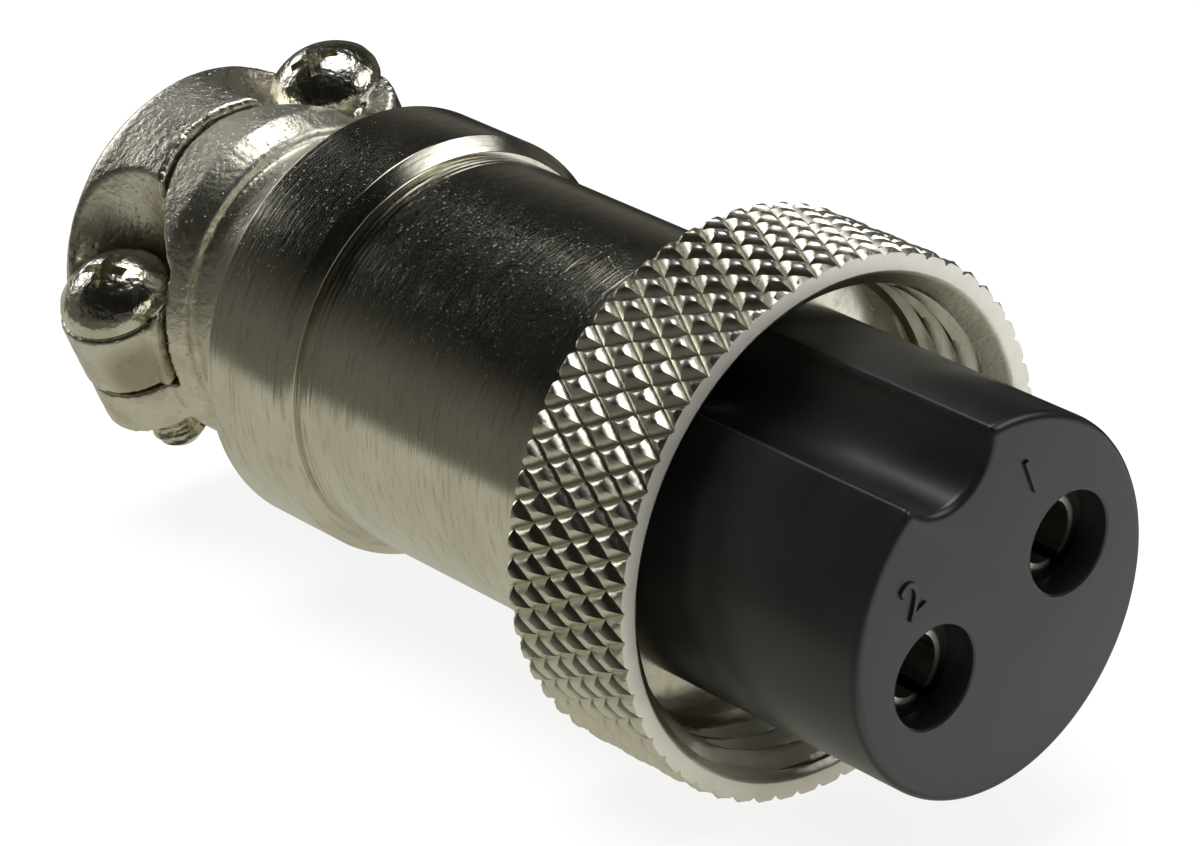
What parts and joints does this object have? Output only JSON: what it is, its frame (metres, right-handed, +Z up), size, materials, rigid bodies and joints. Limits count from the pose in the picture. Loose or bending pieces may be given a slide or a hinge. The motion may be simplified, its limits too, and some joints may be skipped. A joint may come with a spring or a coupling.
{
  "type": "aviation plug connector",
  "caption": "Round cable plug: black keyed insert with socket contacts, knurled coupling ring, slim metal barrel and a screwed cable clamp.",
  "frame": {"origin": "centre of the insert's mating face, on the plug's axis", "axes": "+X along the plug's axis, out of the mating face; +Z up as the plug lies on its ring and rear collar, with the keyway rolled 26 degrees from +Z toward -Y"},
  "size_m": [0.0377, 0.0178, 0.0178],
  "materials": {
    "insert_phenolic": "moulded black thermoset, satin face and glossy sides",
    "contact_plating": "silver-plated turned brass",
    "nickel_turned": "nickel-plated turned brass, satin",
    "screw_steel": "plated steel",
    "nickel_knurled": "nickel-plated knurled brass",
    "nickel_cast": "nickel-plated die casting, mottled",
    "screw_nickel": "nickel-plated steel"
  },
  "bodies": {
    "plug_body": {"insert": "insert_phenolic", "contact_1": "contact_plating", "contact_2": "contact_plating", "insert_sleeve": "nickel_turned", "lock_screw": "screw_steel", "barrel": "nickel_turned", "rear_collar": "nickel_turned", "clamp_body": "nickel_cast"},
    "ring": {"coupling_ring": "nickel_knurled"},
    "strap": {"clamp_strap": "nickel_cast", "clamp_screw_1": "screw_nickel", "clamp_screw_2": "screw_nickel"}
  },
  "joints": [
    {"name": "ring_turn", "type": "hinge", "parent": "plug_body", "child": "ring", "pos_m": [-0.00695, 0, 0], "axis": [1, 0, 0], "continuous": true},
    {"name": "strap_lift", "type": "slide", "parent": "plug_body", "child": "strap", "axis": [0, -0.4384, 0.8988], "range_m": [0, 0.0015]}
  ]
}
